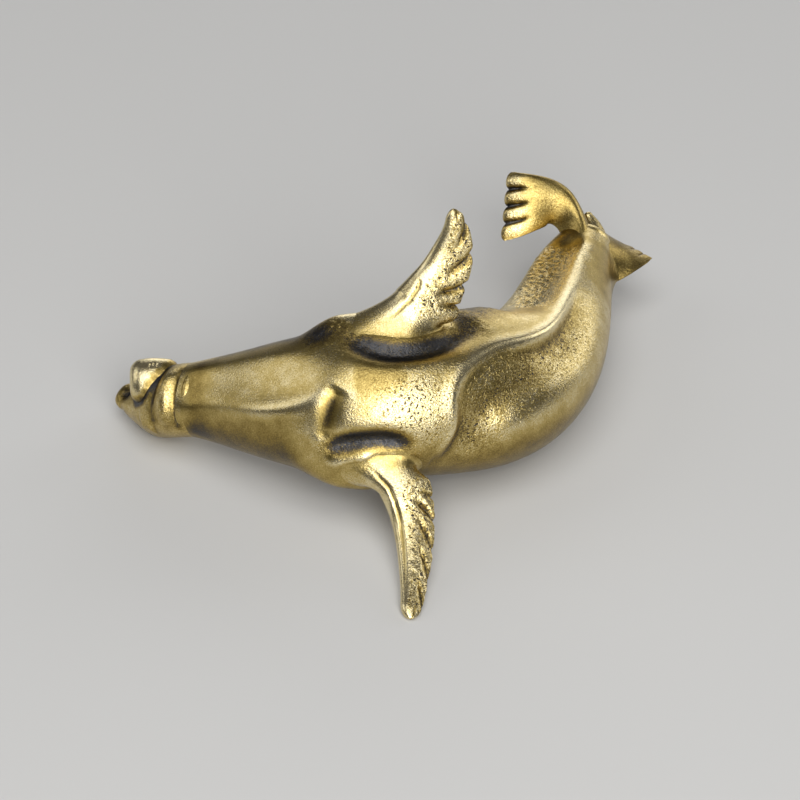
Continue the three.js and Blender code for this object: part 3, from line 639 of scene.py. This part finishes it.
head_stains = [
    welt(head, [[6.0, -80], [6.2, -40], [6.35, 0], [6.5, 50]], 0.45, 0.45, 0.1),
    welt(head, [[4.6, -80], [4.7, -40], [4.8, 0], [5.0, 50]], 0.5, 0.4, 0.1),
    knob(head, 0.6, -25, 1.2, 0.6),
]
# Head and chin also get painted shade where they face the table.
head_patina_and_shade = patina_and_shade_of(head_skin, head_plain, base=0.26, shade_below=0.1, in_furrows=1.6)
head_patina_and_shade = head_patina_and_shade + 0.9 * near_to(head_plain, jaw) + lift_of(head_stains, head_plain)
head_piece = brass_piece("head_skin", head_skin, head_patina_and_shade, 0.3 + 0 * head_patina_and_shade)
jaw_patina_and_shade = patina_and_shade_of(jaw_skin, jaw_plain, base=0.03, shade_below=0.35, in_furrows=1.2, reach=4)
jaw_patina_and_shade = jaw_patina_and_shade + 0.5 * near_to(jaw_plain, head)
jaw_piece = brass_piece("chin_skin", jaw_skin, jaw_patina_and_shade, 0 * jaw_patina_and_shade)

# %% [markdown]
# ## Flippers
# A flipper is a blade: rows of a drop-shaped section, thick at the leading edge and thin at the
# trailing one. It grows out of an oval on the body. A boolean union would leave a hard seam
# there, so a Bezier fillet joins that oval to the blade's first row.

# %% Flipper surfaces
def tip_round(share, start, left):
    """A quarter circle from 1 at a start to nearly 0 at the tip: sqrt(1 - (1 - left) t^2)."""
    t = np.clip((share - start) / (1 - start), 0, 1)
    return np.sqrt(1 - (1 - left) * t**2)


class Flipper:
    """Columns of a row: x, y, z of the middle of the chord, lead, trail, half thickness, chord."""

    def __init__(self, rows, detail, root=None, pull=1.0):
        rows = np.array(rows, float)
        self.path, self.sizes = rows[:, :3], rows[:, 3:]
        self.detail, self.root, self.pull = detail, root, pull

    def blade(self, share, turn):
        """Section at a share of the length: x = -cos(turn) runs from the leading to the trailing
        edge, and the height is sin(turn) times the thickness, closed by a round tip."""
        place = share * (len(self.path) - 1)
        middle, along = run_frame(self.path, place)
        size = smooth_run(self.sizes, place)
        chord = square_to(along, size[..., 3:])
        face = np.cross(along, chord)
        x = -np.cos(turn)
        close = tip_round(share, 0.9, 1e-12)
        reach = x * np.where(x < 0, size[..., 0], size[..., 1])
        height = np.sin(turn) * size[..., 2] * (1 - 0.5 * x) * close
        reach, height, ahead = self.detail(share, x, reach, height, close)
        return (middle + reach[..., None] * chord + height[..., None] * face
                + np.broadcast_to(ahead, reach.shape)[..., None] * along)

    def ring_on(self, host, turn, size):
        """The root oval on the host's skin: the station follows the cosine, with a reach of its own
        ahead and behind, and the angle follows the sine and leans over ahead."""
        root = self.root
        around = turn + np.radians(root["offset"])
        sine, cosine = np.sin(around) * size, np.cos(around) * size
        angle = root["angle"] + root["half_angle"] * sine + root["lean"] * np.maximum(cosine, 0)
        reach = np.where(cosine > 0, root["ahead"], root["behind"])
        return host.surface(root["station"] - reach * cosine, angle)

    def grid(self, host, rows, sides, root_rows=40):
        """Rings from a pole inside the body over the fillet, where the share of the length is below
        0, to the blade's tip. Gives the rings, x and the share for each point."""
        turn = np.linspace(0, 2 * np.pi, sides, endpoint=False)
        share = 1 - (1 - np.linspace(0, 1, rows)) ** 1.3
        blade = self.blade(share[:, None], turn[None])
        if self.root is None:
            below = share[:1]
            grid = np.concatenate([0 * blade[:1] + self.path[0], blade])
        else:
            outer, inner = self.ring_on(host, turn, 1.0), self.ring_on(host, turn, 0.55)
            _, along = run_frame(self.path, np.zeros(1))
            pulled = blade[0] - along * self.pull
            t = np.linspace(0, 1, root_rows, endpoint=False)[:, None, None]
            fillet = ((1 - t)**3 * outer + 3 * (1 - t)**2 * t * inner
                      + 3 * (1 - t) * t**2 * pulled + t**3 * blade[0])
            spine = host.frames(np.array([self.root["station"]]))[0]
            pole = outer.mean(0) + unit(spine - outer.mean(0))
            below = np.concatenate([[-1.0], np.linspace(-0.5, 0, root_rows, endpoint=False)])
            grid = np.concatenate([0 * outer[None] + pole, fillet, blade])
        share = np.concatenate([below, share])[:, None]
        return grid, *np.broadcast_arrays(-np.cos(turn)[None], share)


print("a round tip, halfway along it:", tip_round(np.array([0.95]), 0.9, 0.0).round(2))

# %% [markdown]
# ## Feathers and toes
# The fore flippers have slanting hollows that notch the trailing edge, like feathers, and the
# hind flippers have four toes. Cutting them out with booleans would leave sharp lips. Waves
# across the blade thin it and draw its edge in, and stay round everywhere.

# %% Details of the blades
def feather_wave(share, x, count, phase):
    """0 along each slanting furrow and 1 between two of them."""
    return np.abs(np.sin(np.pi * (count * (share + 0.22 * (1 - x)) + phase)))


def feathered(count, phase, notch):
    """Detail of a fore flipper: slanting hollows, each with a notch in the trailing edge."""
    def detail(share, x, reach, height, close):
        on = ease(0.04, 0.15, share) * (1 - ease(0.88, 0.97, share))
        gap = 1 - feather_wave(share, x, count, phase)
        reach = reach * close * (1 - on * notch * np.maximum(x, 0) ** 3 * gap**3)
        height = height * (1 - on * ease(0.1, 0.5, x) * 0.75 * gap**1.4)
        return reach, height, 0.0
    return detail


def toe_gap(share, x):
    """1 between two of the four toes, over the last third of the blade."""
    toe = np.abs(np.sin(np.pi * 2 * (x + 1)))
    width = 0.3 + 0.25 * ease(0.75, 1, share)
    return bell(toe, width) * ease(0.66, 0.78, share) * (1 - x**8)


def toed(skew, depth, palm):
    """Detail of a hind flipper: short toes on a slanting end, on the share of its length that the
    palm takes. Each toe is round across, and its end is a half round, so the end row falls back by
    1 - sqrt(1 - t^2), with t from -1 to 1 across a toe."""
    def detail(share, x, reach, height, close):
        share = 1 - (1 - share) / palm
        across = np.mod(2 * (x + 1), 1) * 2 - 1
        arch = 0.35 * across**2 * ease(0.6, 0.8, share) + 0.5 * toe_gap(share, x)
        height = height / close * tip_round(share, 0.92, 0.02) * (1 - depth * arch)
        fall = 1 - np.sqrt(1 - np.minimum(np.abs(across), 0.98) ** 2)
        ahead = ease(0.5, 1, share) * skew * x - ease(0.72, 1, share) * 0.6 * depth * fall
        return reach, height, ahead
    return detail


def scored(grid, share, path, width, depth):
    """The rings pressed in by a bell of the distance to a line, which is a run of shares of the
    length and turns round the blade, and where they are pressed, from 0 to 1."""
    path = smooth_run(path, np.linspace(0, len(path) - 1, 31))
    row = np.searchsorted(share[:, 0], path[:, 0])
    column = np.round(path[:, 1] / 360 * grid.shape[1]).astype(int)
    distance, _, along = nearest_on(grid[row, column], grid)
    pressed = bell(distance, width) * fade_ends(along, 0.3)
    return grid - (depth * pressed)[..., None] * ring_normals(grid), pressed


gaps = toe_gap(1.0, np.linspace(-0.99, 0.99, 199)) > 0.5
print("gaps between the toes:", np.count_nonzero(np.diff(gaps.astype(int)) == 1))

# %% [markdown]
# ## The fore flippers
# The near one reaches down to the table and rests on its tip, the far one stands up. Each has a
# scored line from its root along the blade and a face that kept its cast skin. One function
# makes both, because they differ only in their rows, their feathers and where the line runs.

# %% Fore flippers
RIGHT_FORE = [
    (-13.60, -22.00, 6.35, 2.9, 2.6, 1.20, 1, 0, 0),
    (-13.10, -23.10, 4.80, 2.5, 2.5, 1.00, 1, 0, 0),
    (-12.70, -25.42, 3.47, 2.2, 2.1, 0.80, 1, 0, 0),
    (-12.60, -28.71, 2.18, 1.9, 1.7, 0.70, 1, 0, 0),
    (-12.80, -32.49, 0.98, 1.4, 1.2, 0.60, 1, 0, 0),
    (-13.25, -35.98, 0.29, 1.1, 1.0, 0.55, 1, 0, 0),
]
LEFT_FORE = [
    (-11.50, -6.75, 19.45, 3.5, 3.6, 1.70, 1, 0, 0),
    (-10.85, -6.05, 20.65, 2.9, 3.3, 1.30, 1, 0, 0),
    (-9.89, -5.20, 22.08, 2.4, 3.0, 0.90, 1, 0, 0),
    (-8.80, -4.15, 24.50, 2.0, 2.6, 0.65, 1, 0, 0),
    (-8.30, -3.55, 27.05, 1.3, 1.4, 0.55, 1, 0, 0),
    (-8.70, -2.85, 28.97, 0.7, 0.6, 0.45, 1, 0, 0),
]
RIGHT_FORE_ROOT = dict(station=4.62, angle=-83, ahead=0.95, behind=0.5,
                       half_angle=19, lean=0, offset=0)
LEFT_FORE_ROOT = dict(station=5.05, angle=50, ahead=1.6, behind=0.95,
                      half_angle=17, lean=14, offset=0)
RIGHT_FEATHERS, LEFT_FEATHERS = dict(count=5.2, phase=0.22), dict(count=4.3, phase=0.31)
RIGHT_CREASE = [[-0.42, 60], [-0.2, 58], [0.0, 54], [0.3, 50], [0.6, 48], [0.9, 50]]
LEFT_CREASE = [[0.25, 318], [0.2, 301], [0.05, 300], [-0.15, 302], [-0.35, 305]]
CREASE_WIDTH, CREASE_DEPTH = 0.2, 0.16


def fore_flipper(name, flipper, feathers, crease):
    """Mesh of a fore flipper: dark in the feathers' furrows and the scored line, and darker at the
    root, partly dirt and partly painted shade.
    """
    grid, x, share = flipper.grid(body, 200, 120)
    grid, pressed = scored(grid, share, crease, CREASE_WIDTH, CREASE_DEPTH)
    face = ease(-0.5, -0.1, x) * ease(-0.3, 0.05, share) * (1 - ease(0.93, 1, share))
    grid = on_table(roughen(grid, 0.9, 0.022, face, 11))
    gap = 1 - feather_wave(share, x, **feathers)
    furrow = ease(0.0, 0.15, share) * ease(0.1, 0.55, x) * gap**1.3
    # Darker over the root's fillet: partly dirt where the flipper meets the body, partly painted
    # shade that tones down the fillet's highlight.
    root_dirt_and_shade = 0.28 * (1 - ease(-0.5, -0.1, share))
    patina_and_shade = 0.05 + root_dirt_and_shade + 0.7 * furrow + 0.1 * face + 0.3 * pressed
    return brass_piece(name, grid, patina_and_shade, face)


right_fore = Flipper(RIGHT_FORE, feathered(**RIGHT_FEATHERS, notch=0.16), RIGHT_FORE_ROOT, 0.8)
left_fore = Flipper(LEFT_FORE, feathered(**LEFT_FEATHERS, notch=0.25), LEFT_FORE_ROOT, 1.0)
right_fore_piece = fore_flipper("right_fore_skin", right_fore, RIGHT_FEATHERS, RIGHT_CREASE)
left_fore_piece = fore_flipper("left_fore_skin", left_fore, LEFT_FEATHERS, LEFT_CREASE)

# %% [markdown]
# ## The hind flippers
# The far one bends over like a hand on a wrist, with four toes at its slanting end. Its wrist
# starts inside the hind body and needs no fillet. The near one is a fan with faint toes. An
# armature could bend a straight hand, but rows set along the bend give the wrist its own widths.

# %% Hind flippers
LEFT_HIND = [
    (6.00, 17.50, 7.50, 1.6, 2.6, 2.40, -0.80, -0.6, -0.8),
    (6.30, 19.30, 8.70, 1.5, 2.3, 2.00, -0.80, -0.6, -0.8),
    (5.65, 20.80, 9.85, 1.4, 1.9, 1.45, -0.75, -0.6, -0.8),
    (4.70, 21.85, 10.90, 1.7, 1.9, 1.10, -0.60, -0.6, -0.8),
    (3.20, 22.43, 12.11, 2.5, 2.6, 0.90, -0.20, -0.6, -0.8),
    (0.80, 21.73, 12.61, 3.2, 3.2, 0.80, 0.00, -0.6, -0.8),
    (-1.20, 21.50, 12.27, 3.7, 3.7, 0.65, -0.15, -0.6, -0.8),
    (-2.61, 21.55, 12.00, 3.8, 3.8, 0.55, -0.20, -0.6, -0.8),
]
RIGHT_HIND = [
    (9.20, 18.60, 7.35, 3.4, 3.2, 0.90, -0.20, -0.95, -0.25),
    (10.40, 19.50, 6.90, 3.2, 3.0, 0.75, -0.15, -0.97, 0.03),
    (11.60, 20.50, 6.35, 2.8, 2.8, 0.60, -0.10, -0.95, 0.25),
    (12.60, 21.40, 5.75, 2.5, 2.5, 0.50, 0.00, -0.90, 0.42),
]
RIGHT_HIND_ROOT = dict(station=10.2, angle=-95, ahead=0.8, behind=0.8,
                       half_angle=28, lean=0, offset=180)
LEFT_PALM, RIGHT_PALM = 5 / 7, 1.0


def hind_flipper(name, flipper, palm, base, toes):
    """Mesh of a hind flipper: lighter along the toes, as rubbed wear and painted highlight, and
    dark in the gaps between them.
    """
    grid, x, share = flipper.grid(body, 160, 160)
    share = 1 - (1 - share) / palm
    # Lighter toes are partly rubbed wear and partly painted highlight.
    patina_and_shade = base - 0.3 * toes * ease(0.6, 0.8, share) + toes * toe_gap(share, x)
    return brass_piece(name, grid, patina_and_shade, 0.15 + 0 * patina_and_shade, zipped=True)


left_hind = Flipper(LEFT_HIND, toed(0.85, 1.0, LEFT_PALM))
right_hind = Flipper(RIGHT_HIND, toed(0.0, 0.25, RIGHT_PALM), RIGHT_HIND_ROOT, 0.6)
left_hind_piece = hind_flipper("left_hind_skin", left_hind, LEFT_PALM, base=0.44, toes=1.0)
# The near hind flipper's higher base is painted shade: it is darker all over.
right_hind_piece = hind_flipper("right_hind_skin", right_hind, RIGHT_PALM, base=0.52, toes=0.15)

# %% [markdown]
# ## The tail
# A small nub between the hind flippers. A stretched ball would do, but the loft gives it the
# slight bend that it has, with the same few lines.

# %% Tail
TAIL = [
    (7.31, 18.60, 7.60, 2.1, 2.1, 1.7, 1.7, 18),
    (7.75, 20.60, 8.60, 1.5, 1.5, 1.3, 1.3, 18),
    (7.45, 22.00, 9.40, 0.9, 0.9, 0.8, 0.8, 18),
    (7.05, 22.60, 10.05, 0.5, 0.5, 0.45, 0.45, 18),
]
tail_skin = Loft(TAIL, 0.45, 0.45).grid(40, 60)
even = np.full(tail_skin.shape[:2], 0.2)
tail_piece = brass_piece("tail_skin", tail_skin, even, even)

# %% [markdown]
# ## Aged brass
# Brass is bright where hands rub it and brown, then blue-black, where they don't reach, and the
# same scale also carries painted shade and highlight. Image textures could show that, but they
# need unwrapping. Here nodes read the two numbers stored on the points, and noise in Object
# coordinates. A small helper adds a node and fills its inputs.

# %% A material's nodes
class Finish:
    """A metal whose nodes are added one at a time. Its patterns are measured in millimetres."""

    def __init__(self, name):
        self.material = bpy.data.materials.new(name)
        self.material.use_nodes = True
        self.nodes, self.links = self.material.node_tree.nodes, self.material.node_tree.links
        self.shader = self.nodes["Principled BSDF"]
        self.shader.inputs["Metallic"].default_value = 1.0
        self.place = self.add("ShaderNodeMapping", {
            "Vector": self.add("ShaderNodeTexCoord").outputs["Object"],
            "Scale": (1 / MM, 1 / MM, 1 / MM),
        }).outputs["Vector"]

    def add(self, kind, inputs=None, **settings):
        """A node with its settings, each input set to a value or linked to another's output."""
        made = self.nodes.new(kind)
        for key, value in settings.items():
            setattr(made, key, value)
        for key, value in (inputs or {}).items():
            if isinstance(value, bpy.types.NodeSocket):
                self.links.new(value, made.inputs[key])
            else:
                made.inputs[key].default_value = value
        return made

    def math(self, operation, a, b, clamp=False):
        """One sum or product of two numbers."""
        made = self.add("ShaderNodeMath", {0: a, 1: b}, operation=operation, use_clamp=clamp)
        return made.outputs[0]

    def noise(self, scale, detail, roughness):
        """Noise about 0.5, with scale waves to the millimetre."""
        settings = {"Scale": scale, "Detail": detail, "Roughness": roughness, "Vector": self.place}
        return self.add("ShaderNodeTexNoise", settings).outputs["Fac"]


brass = Finish("aged_brass")
print("nodes at the start:", len(brass.nodes))

# %% [markdown]
# ## Dirt, painted shade and pits
# Dirt and painted shade are one number from 0 to 1: the stored patina with its painted shade and
# highlight, broken up by a broad mottle and by a fine grain, so that no edge of it is clean. The
# pits are dark too. Each is the middle of a Voronoi cell, which gives separate round spots where
# noise would give blots, and stirring keeps them out of rows.

# %% Brass: dirt, painted shade and pits
patina_and_shade = brass.add("ShaderNodeAttribute", attribute_name="patina_and_shade").outputs["Fac"]
porous = brass.add("ShaderNodeAttribute", attribute_name="pits").outputs["Fac"]
mottle = brass.math("SUBTRACT", brass.noise(0.55, 5.0, 0.65), 0.5)
grain = brass.math("SUBTRACT", brass.noise(7.0, 3.0, 0.6), 0.5)
coarse = brass.math("ADD", brass.math("MULTIPLY", porous, 1.3), 0.65)
dirt_and_shade = brass.math("ADD", patina_and_shade, brass.math("MULTIPLY", mottle, 0.5))
dirt_and_shade = brass.math("ADD", dirt_and_shade, brass.math("MULTIPLY", grain, coarse), clamp=True)

stir = brass.add("ShaderNodeTexNoise", {"Scale": 1.6, "Vector": brass.place}).outputs["Color"]
stirred = brass.add("ShaderNodeVectorMath", {0: brass.place, 1: stir}, operation="ADD")
cells = brass.add("ShaderNodeTexVoronoi", {"Scale": 2.3, "Vector": stirred.outputs["Vector"]})
spots = {"Value": cells.outputs["Distance"], "From Min": 0.34, "From Max": 0.20}
spots = brass.add("ShaderNodeMapRange", spots, interpolation_type="SMOOTHSTEP")
pit = brass.math("MULTIPLY", spots.outputs["Result"], porous)
dirt_and_shade = brass.math("MAXIMUM", dirt_and_shade, brass.math("MULTIPLY", pit, 0.95))
print("nodes with dirt and pits:", len(brass.nodes))

# %% [markdown]
# ## Colour, gloss and wear
# A metal takes its colour in its reflection, so the base colour is the brass itself: pale gold
# where it is clean, brown and then near black with dirt and painted shade, which are also duller.
# The brown middle tone is tinted red as a painted reflection. Bump adds the finest wear, below
# what the mesh can carry. The pieces then get the metal and their places.

# %% Brass: colour, gloss and wear
CLEAN, BLACKENED = (0.86, 0.74, 0.44, 1), (0.06, 0.06, 0.063, 1)
# The middle tone at 0.52 is reddish: the brass's own brown with a painted reflection of dark red
# surroundings.
TONES = {0.28: (0.55, 0.415, 0.145, 1), 0.52: (0.30, 0.213, 0.06, 1), 0.76: (0.12, 0.093, 0.05, 1)}
tone = brass.add("ShaderNodeValToRGB", {"Fac": dirt_and_shade})
tone.color_ramp.elements[0].color, tone.color_ramp.elements[1].color = CLEAN, BLACKENED
for amount, colour in TONES.items():
    tone.color_ramp.elements.new(amount).color = colour
gloss = brass.add("ShaderNodeMapRange", {"Value": dirt_and_shade, "To Min": 0.25, "To Max": 0.36})
wear_depth = brass.math("ADD", brass.math("MULTIPLY", porous, 0.6), 0.55)
wear = brass.math("MULTIPLY", brass.noise(4.5, 4.0, 0.6), wear_depth)
bump = brass.add("ShaderNodeBump", {"Strength": 0.6, "Distance": 0.1 * MM,
                                    "Height": brass.math("SUBTRACT", wear, pit)})
brass.links.new(tone.outputs["Color"], brass.shader.inputs["Base Color"])
brass.links.new(gloss.outputs["Result"], brass.shader.inputs["Roughness"])
brass.links.new(bump.outputs["Normal"], brass.shader.inputs["Normal"])

pieces = {
    "body": body_piece, "head": head_piece, "lower_jaw": jaw_piece, "tail": tail_piece,
    "right_fore_flipper": right_fore_piece, "left_fore_flipper": left_fore_piece,
    "right_hind_flipper": right_hind_piece, "left_hind_flipper": left_hind_piece,
}
for solid, piece in pieces.items():
    piece.data.materials.append(brass.material)
    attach(piece, "root")
    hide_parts(solid)
print("brass on", len(pieces), "pieces")

# %% [markdown]
# ## The table
# The figurine lies on a plain pale table. Polished metal mirrors it from below, so it is a real
# face and not only a background colour. It belongs to the stage, not to the object.

# %% Table
TABLE_HALF, TABLE_COLOUR = 0.6, (0.60, 0.595, 0.58, 1)
corners = [(TABLE_HALF * x, TABLE_HALF * y, 0) for x, y in ((-1, -1), (1, -1), (1, 1), (-1, 1))]
table_mesh = bpy.data.meshes.new("table")
table_mesh.from_pydata(corners, [], [(0, 1, 2, 3)])
table = bpy.data.objects.new("table", table_mesh)
bpy.context.scene.collection.objects.link(table)
pale = bpy.data.materials.new("pale_table")
pale.use_nodes = True
pale.node_tree.nodes["Principled BSDF"].inputs["Base Color"].default_value = TABLE_COLOUR
pale.node_tree.nodes["Principled BSDF"].inputs["Roughness"].default_value = 0.8
table_mesh.materials.append(pale)
print("table of", 2 * TABLE_HALF, "m")

# %% [markdown]
# ## Light
# Metal shows what is around it, so the lamps are large and soft: one in front and one above draw
# the highlights along throat, chest and belly, and weaker ones at the left, the right and the
# back give the far sides an edge. A sky picture would do it too, but discs are easier to place.

# %% Light
FIGURINE = (-0.014, -0.005, 0.0)
SOFT_LAMPS = {
    "box_front": dict(place=(0.10, -0.53, 0.31), size=0.48, watts=2.5),
    "box_above": dict(place=(-0.02, -0.20, 0.51), size=0.54, watts=1.6),
    "box_left": dict(place=(-0.49, 0.07, 0.31), size=0.40, watts=0.42),
    "box_right": dict(place=(0.52, 0.34, 0.22), size=0.42, watts=0.8),
    "box_back": dict(place=(0.06, 0.58, 0.15), size=0.46, watts=0.75),
}


def look_at(thing, place, aim):
    """A lamp or camera put at a place and turned so that its own -Z points at an aim."""
    thing.location = place
    way = Vector(aim) - Vector(place)
    thing.rotation_euler = way.to_track_quat("-Z", "Y").to_euler()


for name, soft in SOFT_LAMPS.items():
    disc = bpy.data.lights.new(name, "AREA")
    disc.shape = "DISK"
    disc.size, disc.energy = soft["size"], soft["watts"]
    lamp = bpy.data.objects.new(name, disc)
    lamp.visible_camera = False
    look_at(lamp, soft["place"], FIGURINE)
    bpy.context.scene.collection.objects.link(lamp)

world = bpy.data.worlds.new("surroundings")
world.use_nodes = True
world.node_tree.nodes["Background"].inputs["Color"].default_value = (0.08, 0.08, 0.085, 1)
bpy.context.scene.world = world
bpy.context.scene.view_settings.view_transform = "Standard"
print("soft lamps:", len(SOFT_LAMPS))

# %% [markdown]
# ## Camera
# The camera looks along +Y and down at about 38 degrees. A long lens from far away keeps the near
# flipper and the far one at nearly the same scale, as in a product picture.

# %% Camera
ELEVATION, DISTANCE, LENS = np.radians(37.8), 452.026, 186.6
AIM = np.array([-14.31, -4.76, 4.82])
back_off = DISTANCE * np.array([0.0, -np.cos(ELEVATION), np.sin(ELEVATION)])
lens = bpy.data.cameras.new("camera")
lens.lens, lens.sensor_width, lens.clip_start = LENS, 36.0, 0.01
camera = bpy.data.objects.new("camera", lens)
look_at(camera, ((AIM + back_off) * MM).tolist(), (AIM * MM).tolist())
bpy.context.scene.collection.objects.link(camera)
bpy.context.scene.camera = camera
print("camera at", np.round(AIM + back_off, 1).tolist(), "mm")
